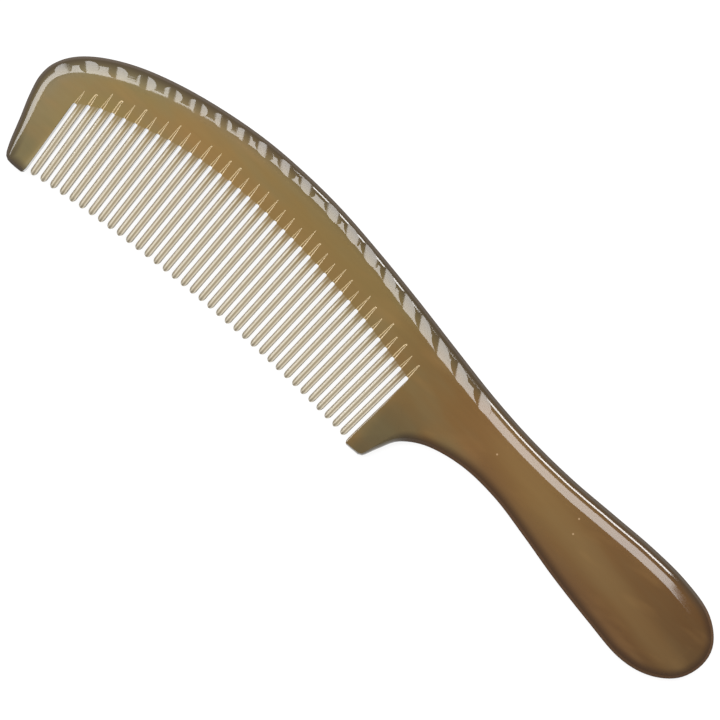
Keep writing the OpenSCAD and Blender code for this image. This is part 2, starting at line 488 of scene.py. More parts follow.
@dataclass
class Teeth:
    """The cuts that make the teeth: gaps with broken edges, saw run-outs, and the thinning of the faces."""

    thickness: float = 5.0
    count: int = 36
    gap: float = 0.9
    # point from which the gaps fan out, the first and the last gap's angle in degrees, and the bend between
    fan: tuple = (48.1, -526.6)
    angles: tuple = (-4.011, 5.623)
    bend: float = 0.04
    # top and radius of the arc on which the tips lie
    tip_middle: tuple = (55.6, 3.5)
    tip_radius: float = 380.0
    # half the thickness near the tips, and the heights above their arc at which the slope of the faces starts
    # and ends, with half the stretch over which it eases into the flat
    tip_half: float = 1.3
    slope_start: float = 1.7
    taper: float = 17.0
    ease: float = 4.0
    # length of a tooth's rounded end in plan, and height and radius of the rounding of its faces there
    tip_length: float = 1.1
    nose: float = 1.5
    nose_radius: float = 1.6
    # width and height of the teeth's rounding, and the size of the broken edge at the gaps' ends
    round_width: float = 0.52
    round_height: float = 0.3
    broken: float = 0.12
    # share of the rounding that a tooth's point lacks, and greatest height as a share of half the thickness
    point_less: float = 0.35
    round_most: float = 0.8
    # depth of the thinning at the ends of the left and the right guard, and its length
    guard_depth: tuple = (0.0, 0.7)
    guard_taper: float = 20.0
    # the right guard's wedge: where it starts and ends along the last gap, and its outer corners as x, y
    # and share of the depth
    wedge: tuple = (19, -2)
    wedge_corners: tuple = ((109, 6, 0.0), (107, -2, 0.53))
    # start of a guard's straight inner wall, share of the full rounding on it, and its flared foot as y
    # and distance out
    guard_foot: float = 1.4
    guard_share: float = 0.3
    flare: tuple = ((-3, 1.2), (-0.05, 1.2), (0.1, 0.7), (0.4, 0.3), (0.8, 0.1), (1.4, 0.0))
    # distance between a wall's points, and places of its last ones below the gap's end
    wall_step: float = 2.5
    last_steps: tuple = (2.7, 2.0, 1.4, 0.9)
    # least distance from the other points to these, and how far below the gap's end the rounding has gone
    wall_margin: float = 0.5
    # radius of the corners at the gap's end, and the angles of their points in degrees
    corner: float = 0.3
    corner_turns: tuple = (0, 30, 60, 90)
    # length of a run-out, how far it stretches by chance, and where it starts below the gap's end
    run_length: float = 3.5
    run_stray: float = 0.5
    run_start: float = 0.6
    # least width of a run-out's point, how much wider a blunt one is, and its depth, as shares of those
    # at its mouth
    run_point: tuple = (0.12, 0.9, 0.15)
    # the line of the gaps' ends: x, y
    roots: tuple = (
        (7.4, 16.9),
        (9.3, 18.6),
        (14.5, 21.4),
        (22, 23.6),
        (31, 25.8),
        (41, 27.1),
        (53, 27.3),
        (66, 26.3),
        (78, 24.7),
        (88, 23),
        (96, 21.1),
        (104, 19.1),
    )

    def angle(self, i: float) -> float:
        """Return the angle of a gap's line, in radians."""
        low, high = self.angles
        share = i / self.count
        return math.radians(low + (high - low) * share + self.bend * 4 * share * (1 - share))

    def on_gap(self, i: float, r: float, off: float) -> Vector:
        """Find a point by a gap's line.

        Args:
            i: Number of the gap; a half number is a tooth.
            r: Distance from the fan's point, in mm.
            off: Distance to the right of the line, in mm.

        Returns:
            The point in plan.
        """
        a = self.angle(i)
        return Vector(
            (
                self.fan[0] + r * math.sin(a) + off * math.cos(a),
                self.fan[1] + r * math.cos(a) - off * math.sin(a),
            )
        )

    def reach(self, i: float, y: float) -> float:
        """Return the distance from the fan's point at which a gap's line is at a height y."""
        return (y - self.fan[1]) / math.cos(self.angle(i))

    def root_reach(self, i: float) -> float:
        """Return the distance from the fan's point at which a gap ends."""
        near_root, parts = 24, 4
        x = self.on_gap(i, self.reach(i, near_root), 0).x
        line = [
            spline_point(self.roots, k, s / parts)
            for k in range(len(self.roots) - 1)
            for s in range(parts)
        ] + [self.roots[-1]]
        (_, low), (_, high), t = span_at(line, x)
        return self.reach(i, low + (high - low) * t)

    def root_height(self, x: float) -> float:
        """Return the height of the line of the roots over a place along the comb."""
        (_, low), (_, high), t = span_at(self.roots, x)
        return low + (high - low) * t

    def tip_reach(self, i: float) -> float:
        """Return the distance from the fan's point at which a tooth ends."""
        near_tip = 3
        x = self.on_gap(i, self.reach(i, near_tip), 0).x
        drop = (x - self.tip_middle[0]) ** 2 / (2 * self.tip_radius)
        return self.reach(i, self.tip_middle[1] - drop)

    def rho(self, at: Vector) -> float:
        """Return how far a point lies above the arc of the tips."""
        centre = Vector((self.tip_middle[0], self.tip_middle[1] - self.tip_radius))
        return (at - centre).length - self.tip_radius

    def half_thickness(self, rho: float) -> float:
        """Return half the thickness of the teeth at a distance above the arc of the tips."""
        h, full = self.tip_half, self.thickness / 2
        if rho < self.nose:
            # the rounding goes on a little below the arc, but leaves some thickness
            below, least = -0.05, 0.05
            short = (self.nose - max(rho, below)) / self.nose_radius
            return h * math.sqrt(max(1 - short**2, least))
        run, past = self.taper - self.slope_start, rho - self.taper
        if past < -self.ease:
            share = 1 + past / run
        else:
            share = 1 - max(self.ease - past, 0) ** 2 / (4 * self.ease * run)
        return h + (full - h) * share

    def wall(self, i: int, side: Wall) -> list[tuple[Vector, float, float]]:
        """Lay out one wall of a gap, from its foot to the gap's end.

        Args:
            i: Number of the gap.
            side: Which wall.

        Returns:
            Points in plan, each with half the thickness and the share of the full rounding there.
        """
        g, full, root = self.gap / 2, self.thickness / 2, self.root_reach(i)
        outer = i == (0 if side is Wall.LEFT else self.count)
        depth = self.guard_depth[i > 0]
        points = []
        if outer:
            foot = self.reach(i, self.guard_foot)
            for y, off in self.flare:
                at = self.on_gap(i, self.reach(i, y), side.value * (g + off))
                high = full - depth * (1 - max(y, 0) / self.guard_taper)
                points.append((at, high, self.guard_share))
        else:
            foot = self.tip_reach(i + side.value / 2) + self.tip_length
        top = root - self.last_steps[0]
        steps = math.ceil((top - self.wall_margin - foot) / self.wall_step)
        up = [foot + self.wall_step * k for k in range(1, steps)]
        for r in (*up, *(root - s for s in self.last_steps)):
            at = self.on_gap(i, r, side.value * g)
            share = 1 - smoothstep(top, root - self.wall_margin, r)
            if outer:
                share *= self.guard_share
                high = full - depth * (1 - smoothstep(0, self.guard_taper, at.y))
            else:
                high = self.half_thickness(self.rho(at))
            points.append((at, high, share))
        c = self.corner
        for turn in self.corner_turns:
            a = math.radians(turn)
            off = side.value * (g - c + c * math.cos(a))
            points.append((self.on_gap(i, root - c + c * math.sin(a), off), full, 0.0))
        return points

    def tip(self, c: float) -> list[tuple[Vector, float, float]]:
        """Return the rounded end of a tooth in plan, from its left to its right."""
        low, long = self.tip_reach(c), self.tip_length
        spread = self.angle(c + 0.5) - self.angle(c - 0.5)
        wide = (low + long) * math.tan(spread / 2) - self.gap / 2
        out = []
        for turn in range(180, -1, -15):
            a = math.radians(turn)
            at = self.on_gap(c, low + long * (1 - math.sin(a)), wide * math.cos(a))
            share = 1 - self.point_less * math.sin(a)
            out.append((at, self.half_thickness(self.rho(at)), share))
        return out

    def outline(self) -> list[Post]:
        """Return the outline of the opening between the guards, gap by gap."""
        points = []
        for i in range(self.count + 1):
            points += self.wall(i, Wall.LEFT)
            points += reversed(self.wall(i, Wall.RIGHT))
            if i < self.count:
                points += self.tip(i + 0.5)
        flat = [p[0] for p in points]
        n = len(flat)
        posts = []
        for k, (at, high, share) in enumerate(points):
            out = -bevel_normal(flat[k - 1], at, flat[(k + 1) % n])
            wide = self.broken + (self.round_width - self.broken) * share
            tall = self.broken + (self.round_height - self.broken) * share
            tall = min(tall, self.round_most * high)
            posts.append(Post(at, out, rim=wide, reach=tall, top=high))
        return posts

    def opening(self) -> bmesh.types.BMesh:
        """Build the solid that cuts all the gaps at once, with round broken edges."""
        half = self.thickness / 2
        # angles of the rings on the rounding
        turns = [math.radians(a) for a in range(0, 79, 13)]
        end = turns[-1]
        # above the rounding the solid steps away from the gap and then rises clear of the face
        step_out, step_up, clear = 0.1, 0.03, 1.0

        def profile(post: Post, level: int) -> tuple[float, float]:
            """Return a ring's distance into the horn and its height from the middle plane."""
            if level < len(turns):
                start = post.top - post.reach * math.sin(end)
                return post.rim * (1 - math.cos(turns[level])), start + post.reach * math.sin(turns[level])
            rise = post.top + step_up if level == len(turns) else half + clear
            return post.rim * (1 - math.cos(end)) + step_out, rise

        return ring_solid(self.outline(), half, profile, len(turns) + 2)

    def run_outs(self, mouth: float, depth: float, stretch: float) -> bmesh.types.BMesh:
        """Build the pointed grooves in which the saw ran out above each gap, on both faces.

        Args:
            mouth: Half the width of a groove where it meets its gap, in mm.
            depth: Depth of a groove there, in mm.
            stretch: Factor on the grooves' length.

        Returns:
            The grooves' solids.
        """
        bm = bmesh.new()
        half = self.thickness / 2
        narrow, wider, shallow = self.run_point
        for i in range(self.count + 1):
            root = self.root_reach(i)
            length = self.run_length * stretch * (1 + self.run_stray * stray(i, 1.7, 3.1))
            blunt = max(stray(i, 2.9, 8.4), 0.0)
            # distance from the fan's point, share of the mouth, share of the depth
            stages = (
                (root - self.run_start, 1.0, 1.0),
                (root + length, narrow + wider * blunt, shallow),
            )
            for side in Side:
                rows = []
                for r, wide, deep in stages:
                    low = self.thickness - depth * deep
                    above = 2 * self.thickness - low
                    spread = 2 * mouth * wide
                    row = ((0.0, low), (-spread, above), (spread, above))
                    rows.append([side.point(self.on_gap(i, r, off), half, z - half) for off, z in row])
                for vert in prism(bm, rows[0]):
                    k = min(range(3), key=lambda q: (vert.co - rows[0][q]).length)
                    vert.co = rows[1][k]
        bmesh.ops.recalc_face_normals(bm, faces=bm.faces)
        return bm

    def taper_cut(self) -> bmesh.types.BMesh:
        """Build the turned solids that thin the teeth towards their tips, one for each face."""
        bm = bmesh.new()
        half, r = self.thickness / 2, self.tip_radius
        centre = Vector((self.tip_middle[0], self.tip_middle[1] - r, 0))
        # distances above the arc of the tips: where the profile starts, bends and ends
        start, end, clear, above = -3, 22, half + 1, half + 0.03
        bends = [-0.05, 0.02, 0.12, 0.3, 0.55, 0.85, 1.2, 1.5, 3, 8, 13, 14.6, 16.2, 17.8, 19.4]
        line = [(start, self.half_thickness(bends[0]))]
        line += [(rho, self.half_thickness(rho)) for rho in bends]
        line += [(end, above), (end, clear), (start, clear)]
        sweep, parts = math.radians(19), 60
        turn = Matrix.Rotation(-sweep / 2, 4, "Z")
        for side in Side:
            verts = []
            for rho, rise in line:
                at = centre + turn @ Vector((0, r + rho, 0))
                verts.append(bm.verts.new(side.point(at, half, rise)))
            edges = [bm.edges.new((a, b)) for a, b in zip(verts, verts[1:] + verts[:1])]
            bmesh.ops.spin(
                bm, geom=verts + edges, cent=centre, axis=(0, 0, 1),
                angle=sweep, steps=parts, use_merge=False, use_duplicate=False,
            )
        bmesh.ops.holes_fill(bm, edges=[e for e in bm.edges if e.is_boundary], sides=0)
        # cut off along the first and the last gap, at half their height
        halfway = 10
        for i in (0, self.count):
            a = self.angle(i)
            out = Vector((math.cos(a), -math.sin(a), 0)) * (-1 if i == 0 else 1)
            at = self.on_gap(i, self.reach(i, halfway), 0)
            bmesh.ops.bisect_plane(
                bm, geom=bm.verts[:] + bm.edges[:] + bm.faces[:], dist=1e-6,
                plane_co=(at.x, at.y, 0), plane_no=out, clear_outer=True,
            )
            bmesh.ops.holes_fill(bm, edges=[e for e in bm.edges if e.is_boundary], sides=0)
        bmesh.ops.recalc_face_normals(bm, faces=bm.faces)
        return bm

    def guard_cut(self) -> bmesh.types.BMesh:
        """Build the wedges that thin the right guard towards its end, on both faces."""
        # how far the wedges reach into the last gap
        overlap = 0.3
        last, deep, inside = self.count, self.guard_depth[1], self.gap / 2 - overlap
        top, foot = (self.on_gap(last, self.reach(last, y), inside) for y in self.wedge)
        outer = [(Vector((x, y)), deep * share) for x, y, share in self.wedge_corners]
        corners = [(top, 0.0), *outer, (foot, deep)]
        bm = bmesh.new()
        half = self.thickness / 2
        for side in Side:
            for vert in prism(bm, [side.point(p, half, half - depth) for p, depth in corners]):
                vert.co.z = half + side.value * (half + 1)
        bmesh.ops.triangulate(bm, faces=[f for f in bm.faces if len(f.verts) > 3])
        bmesh.ops.recalc_face_normals(bm, faces=bm.faces)
        return bm


class HornComb:
    """The comb as one piece: the plate, cut by the files and the saws, and shaded smooth."""

    name = "horn_comb"
    # points nearer than this are one, in mm
    merge = 0.002
    # angle of a corner that isn't shaded smooth, in degrees
    corner_deg = 24.0
    # steepest upward part of a face's normal on a rounding, and least one on a flat
    rounding, flat = 0.994, 0.9985
    # height of the plate's foot, and the stretch of it, in x, that the gaps cut away
    foot = 0.5
    cut_away = (11, 101)
    # how far above the gaps' ends an edge still belongs to them
    near_root = 0.4

    def __init__(self) -> None:
        """Take the comb's parts at their usual sizes."""
        self.blank = Blank()
        self.teeth = Teeth()

    def to_frame(self) -> Matrix:
        """Return the transform from the drawing, in mm from its corner, to the CAD frame in metres."""
        shift = Matrix.Translation((-self.blank.length / 2, -self.blank.width / 2, 0))
        return Matrix.Scale(MM, 4) @ shift

    def build(
        self,
        polished: bpy.types.Material,
        filed: bpy.types.Material,
        lips: bpy.types.Material,
        sawn: bpy.types.Material,
    ) -> bpy.types.Object:
        """Cut the comb out of its plate.

        Args:
            polished: Material of the polished faces.
            filed: Material of the scoops along the back.
            lips: Material of the pale lips of the run-outs.
            sawn: Material of the walls that the saw left.

        Returns:
            The finished object.
        """
        body = show_mesh("plate", self.blank.solid(), polished)
        cutters = [
            show_mesh("cut_scoops_1", self.blank.files(0), filed),
            show_mesh("cut_scoops_2", self.blank.files(1), filed),
            show_mesh("cut_taper", self.teeth.taper_cut(), polished),
            show_mesh("cut_guards", self.teeth.guard_cut(), polished),
            show_mesh("cut_gaps", self.teeth.opening(), polished),
            show_mesh("cut_lips", self.teeth.run_outs(mouth=0.45, depth=0.14, stretch=1.0), lips),
            show_mesh("cut_runs", self.teeth.run_outs(mouth=0.29, depth=0.3, stretch=0.93), sawn),
        ]
        for cutter in cutters:
            cut = body.modifiers.new(cutter.name, "BOOLEAN")
            cut.operation, cut.solver, cut.object = "DIFFERENCE", "MANIFOLD", cutter
            cut.material_mode = "TRANSFER"
        graph = bpy.context.evaluated_depsgraph_get()
        mesh = bpy.data.meshes.new_from_object(body.evaluated_get(graph))
        mesh.name = self.name
        for tool in (body, *cutters):
            bpy.data.objects.remove(tool)
        obj = show(self.name, mesh)
        self.finish(mesh)
        weigh = obj.modifiers.new("weigh", "WEIGHTED_NORMAL")
        weigh.keep_sharp, weigh.weight = True, 50
        return obj

    def from_edge(self, bm: bmesh.types.BMesh) -> None:
        """Write each point's distance from the comb's outer edge, in mm, in an attribute of the mesh."""
        first, last = self.cut_away
        rim = [p.place for p in self.blank.posts()]
        rim = [at for at in rim if at.y > self.foot or not first <= at.x <= last]
        tree = kdtree.KDTree(len(rim))
        for i, at in enumerate(rim):
            tree.insert((at.x, at.y, 0.0), i)
        tree.balance()
        layer = bm.verts.layers.float.new("from_edge")
        for vert in bm.verts:
            vert[layer] = tree.find((vert.co.x, vert.co.y, 0.0))[2]

    def finish(self, mesh: bpy.types.Mesh) -> None:
        """Clean the cut mesh, mark its corners and place it in the CAD frame."""
        bm = bmesh.new()
        bm.from_mesh(mesh)
        bmesh.ops.remove_doubles(bm, verts=bm.verts, dist=self.merge)
        bmesh.ops.dissolve_degenerate(bm, edges=bm.edges, dist=self.merge)
        sharp = math.radians(self.corner_deg)
        filed = mesh.materials.find("filed_horn")
        for face in bm.faces:
            face.smooth = True
        for edge in bm.edges:
            rises = sorted(abs(f.normal.z) for f in edge.link_faces)
            foot = len(rises) == 2 and rises[0] < self.rounding and rises[1] > self.flat
            at = edge.verts[0].co
            low = at.y < self.teeth.root_height(at.x) + self.near_root
            lip = sum(1 for f in edge.link_faces if f.material_index == filed) == 1
            edge.smooth = edge.calc_face_angle(0.0) < sharp and not (foot and low) and not lip
        self.from_edge(bm)
        open_edges = sum(1 for e in bm.edges if len(e.link_faces) != 2)
        volume = bm.calc_volume()
        log.info("%s: %d faces, %d open edges, %.1f mm3", self.name, len(bm.faces), open_edges, volume)
        bmesh.ops.transform(bm, matrix=self.to_frame(), verts=bm.verts)
        bm.to_mesh(mesh)
        bm.free()


def paint(red: int, green: int, blue: int, gain: float) -> Colour:
    """Turn a colour as a screen shows it into the linear colour that a shader takes.

    Args:
        red: Red, from 0 to 255.
        green: Green, from 0 to 255.
        blue: Blue, from 0 to 255.
        gain: Factor on the linear colour.

    Returns:
        Linear red, green, blue and an alpha of 1.
    """
    out = []
    for value in (red, green, blue):
        v = value / 255
        out.append((v / 12.92 if v <= 0.04045 else ((v + 0.055) / 1.055) ** 2.4) * gain)
    return (*out, 1.0)


class Field:
    """A number that varies over a surface. Its operators add Math nodes."""

    def __init__(self, graph: "Graph", socket: bpy.types.NodeSocket) -> None:
        """Wrap an output socket of a graph."""
        self.graph = graph
        self.socket = socket

    def _math(self, operation: str, *values: "Field | float") -> "Field":
        """Add a Math node on numbers and fields."""
        inputs = dict(enumerate(values))
        made = self.graph.node("ShaderNodeMath", {"operation": operation}, inputs)
        return Field(self.graph, made.outputs[0])

    def __add__(self, other: "Field | float") -> "Field":
        """Add."""
        return self._math("ADD", self, other)

    def __sub__(self, other: "Field | float") -> "Field":
        """Subtract."""
        return self._math("SUBTRACT", self, other)

    def __rsub__(self, other: "Field | float") -> "Field":
        """Subtract, reflected."""
        return self._math("SUBTRACT", other, self)

    def __mul__(self, other: "Field | float") -> "Field":
        """Multiply."""
        return self._math("MULTIPLY", self, other)

    def __truediv__(self, other: "Field | float") -> "Field":
        """Divide."""
        return self._math("DIVIDE", self, other)

    def __pow__(self, other: "Field | float") -> "Field":
        """Raise to a power."""
        return self._math("POWER", self, other)

    def arctan2(self, other: "Field | float") -> "Field":
        """Return the angle whose tangent is this field over the other, in radians."""
        return self._math("ARCTAN2", self, other)

    def fract(self) -> "Field":
        """Return the part after the decimal point."""
        return self._math("FRACT", self)

    def size(self) -> "Field":
        """Return the number without its sign."""
        return self._math("ABSOLUTE", self)

    def fall(self, low: float, high: float) -> "Field":
        """Fall smoothly from 1 to 0 as the field goes from low to high."""
        return self.ramp(low, high, 1.0, 0.0)

    def band(self, low: float, start: float, end: float, high: float) -> "Field":
        """Rise smoothly from 0 at low to 1 at start, and fall from end to 0 at high."""
        return self.ramp(low, start) * self.fall(end, high)

    def ramp(self, low: float, high: float, start: float = 0.0, end: float = 1.0) -> "Field":
        """Ramp smoothly from start to end as the field goes from low to high.

        Args:
            low: Value of the field at which the ramp starts.
            high: Value of the field at which the ramp ends.
            start: Height of the ramp at low.
            end: Height of the ramp at high.

        Returns:
            The ramp as a field.
        """
        made = self.graph.node(
            "ShaderNodeMapRange",
            {"interpolation_type": "SMOOTHSTEP"},
            {"Value": self, "From Min": low, "From Max": high, "To Min": start, "To Max": end},
        )
        return Field(self.graph, made.outputs[0])


class Graph:
    """A material's nodes, with one way to add each kind."""

    def __init__(self, name: str) -> None:
        """Start an empty node material."""
        self.material = bpy.data.materials.new(name)
        self.material.use_nodes = True
        self.tree = self.material.node_tree
        self.tree.nodes.clear()

    def node(self, kind: str, settings: dict | None = None, inputs: dict | None = None) -> bpy.types.Node:
        """Add a node.

        Args:
            kind: Type name of the node.
            settings: Its own settings, set first; a ramp's stops go under "stops".
            inputs: Values, fields or sockets by the name or number of the input.

        Returns:
            The node.
        """
        made = self.tree.nodes.new(kind)
        for name, value in (settings or {}).items():
            if name == "stops":
                elements = made.color_ramp.elements
                while len(elements) > 1:
                    elements.remove(elements[-1])
                elements[0].position, elements[0].color = value[0]
                for position, colour in value[1:]:
                    elements.new(position).color = colour
            else:
                setattr(made, name, value)
        for name, value in (inputs or {}).items():
            if isinstance(value, Field):
                value = value.socket
            if isinstance(value, bpy.types.NodeSocket):
                self.tree.links.new(value, made.inputs[name])
            else:
                made.inputs[name].default_value = value
        return made

    def mix(
        self,
        factor: Field | float,
        first: Colour | bpy.types.NodeSocket,
        second: Colour | bpy.types.NodeSocket,
        blend: str = "MIX",
    ) -> bpy.types.NodeSocket:
        """Mix two colours.

        Args:
            factor: Share of the second colour.
            first: A colour or a socket.
            second: A colour or a socket.
            blend: How the second goes on the first.

        Returns:
            The mixed colour's socket.
        """
        made = self.node(
            "ShaderNodeMix",
            {"data_type": "RGBA", "blend_type": blend, "clamp_factor": True},
            {0: factor, 6: first, 7: second},
        )
        return made.outputs[2]

    def noise(
        self, at: bpy.types.NodeSocket, scale: float = 1.0, detail: float = 2.0, rough: float = 0.5
    ) -> Field:
        """Return a noise field.

        Args:
            at: Socket of the coordinates.
            scale: How many features there are in one unit of them.
            detail: Number of finer layers.
            rough: Strength of each finer layer.

        Returns:
            Numbers about 0.5.
        """
        made = self.node(
            "ShaderNodeTexNoise", None,
            {"Vector": at, "Scale": scale, "Detail": detail, "Roughness": rough},
        )
        return Field(self, made.outputs["Fac"])

    def turned(self, at: bpy.types.NodeSocket, scale: tuple, turn: float = 0.0) -> bpy.types.NodeSocket:
        """Return coordinates turned about Z and then scaled.

        Args:
            at: Socket of the coordinates.
            scale: Factors along the turned axes.
            turn: Angle in degrees.

        Returns:
            The new coordinates' socket.
        """
        turned = self.node(
            "ShaderNodeMapping", {"vector_type": "TEXTURE"},
            {"Vector": at, "Rotation": (0, 0, math.radians(turn))},
        )
        made = self.node(
            "ShaderNodeVectorMath", {"operation": "MULTIPLY"},
            {0: turned.outputs[0], 1: scale},
        )
        return made.outputs[0]


class Tone(Enum):
    """The horn's tones and the painted shades and highlight laid on it: red, green and blue as a screen shows
    them.
    """

    CLOUD_GREEN = (118, 114, 82)
    CLOUD_WARM = (158, 120, 70)
    TOOTH_PALE = (176, 158, 118)
    TIP_OLIVE = (120, 116, 88)
    ROOT_BLUSH = (146, 102, 62)
    # painted shade on the ends of the two guards
    RIGHT_GUARD = (94, 83, 55)
    LEFT_GUARD = (106, 98, 68)
    HANDLE_BAND = (150, 122, 76)
    HANDLE_UNDER = (96, 66, 46)
    FLECK = (214, 180, 140)
    TOOTH_GREY = (164, 152, 130)
    # painted shade by the gaps' edges, and a painted highlight along each tooth
    TOOTH_DIP = (156, 146, 130)
    TOOTH_LINE = (228, 218, 196)
    SHOULDER = (126, 122, 102)
    # painted shade along the back's edge and towards the outer edge
    BACK_DARK = (84, 72, 48)
    SHADE = (66, 54, 40)
    SHADE_WARM = (64, 41, 21)
    SAWN_GOLD = (228, 202, 154)
    # painted shade of the matt rim at the rounded edge
    RIM_OUTER = (112, 101, 90)
    RIM_OUTER_WARM = (116, 89, 68)
    RIM_INNER = (86, 73, 54)
    RIM_INNER_WARM = (82, 56, 34)


class Coat:
    """A colour built up tone by tone, and where a point of the comb lies, as fields in mm."""

    # slope of the handle's middle line, as its unit normal, and a point on it
    normal = (0.2211, 0.9753)
    middle = (128.7, 21.4)

    def __init__(self, graph: Graph, gain: float, ground: tuple) -> None:
        """Set up the fields and lay the ground.

        Args:
            graph: The material's nodes.
            gain: Factor on every tone.
            ground: The colour along the comb, as rows of x and a tone.
        """
        self.graph, self.gain = graph, gain
        blank = Blank()
        spot = graph.node("ShaderNodeTexCoord").outputs["Object"]
        scaled = graph.node("ShaderNodeVectorMath", {"operation": "SCALE"}, {0: spot, "Scale": 1 / MM})
        self.mm = scaled.outputs[0]
        split = graph.node("ShaderNodeSeparateXYZ", None, {0: self.mm})
        # distances from the comb's left end and from the foot of the guards
        self.x = Field(graph, split.outputs[0]) + blank.length / 2
        self.y = Field(graph, split.outputs[1]) + blank.width / 2
        from_edge = graph.node("ShaderNodeAttribute", {"attribute_name": "from_edge"})
        self.edge = Field(graph, from_edge.outputs["Fac"])
        # distance above the handle's middle line
        right, up = self.x - self.middle[0], self.y - self.middle[1]
        self.over = right * self.normal[0] + up * self.normal[1]
        self.beside_gap()
        stops = [(x / blank.length, paint(*tone, gain)) for x, tone in ground]
        along = graph.node("ShaderNodeValToRGB", {"stops": stops}, {"Fac": self.x / blank.length})
        self.colour = along.outputs["Color"]

    def beside_gap(self) -> None:
        """Set up the fields of a point's place among the teeth."""
        g, teeth, blank = self.graph, Teeth(), Blank()
        across, down = self.x - teeth.fan[0], self.y - teeth.fan[1]
        low, high = (math.radians(a) for a in teeth.angles)
        share = (across.arctan2(down) - low) / (high - low)
        bend = math.radians(teeth.bend) * 4 / (high - low)
        place = (share - share * (1.0 - share) * bend) * float(teeth.count)
        pitch = (high - low) / teeth.count
        # distance to the right of the nearest gap's middle
        self.aside = ((place + 0.5).fract() - 0.5) * down * pitch
        # the roots' height over x, as a ramp whose stops are shares of this height
        tall = 40.0
        stops = [(x / blank.length, (y / tall, y / tall, y / tall, 1.0)) for x, y in teeth.roots]
        roots = g.node("ShaderNodeValToRGB", {"stops": stops}, {"Fac": self.x / blank.length})
        # distance below the roots
        self.below = Field(g, roots.outputs["Color"]) * tall - self.y
        # 1 between the guards below the roots, else 0
        last = float(teeth.count)
        self.among = place.band(-0.02, 0.0, last, last + 0.02) * self.below.ramp(-0.1, 0.3)

    def tint(self, share: Field | float, tone: Tone) -> None:
        """Lay a tone over the colour, by its share."""
        self.colour = self.graph.mix(share, self.colour, paint(*tone.value, self.gain))


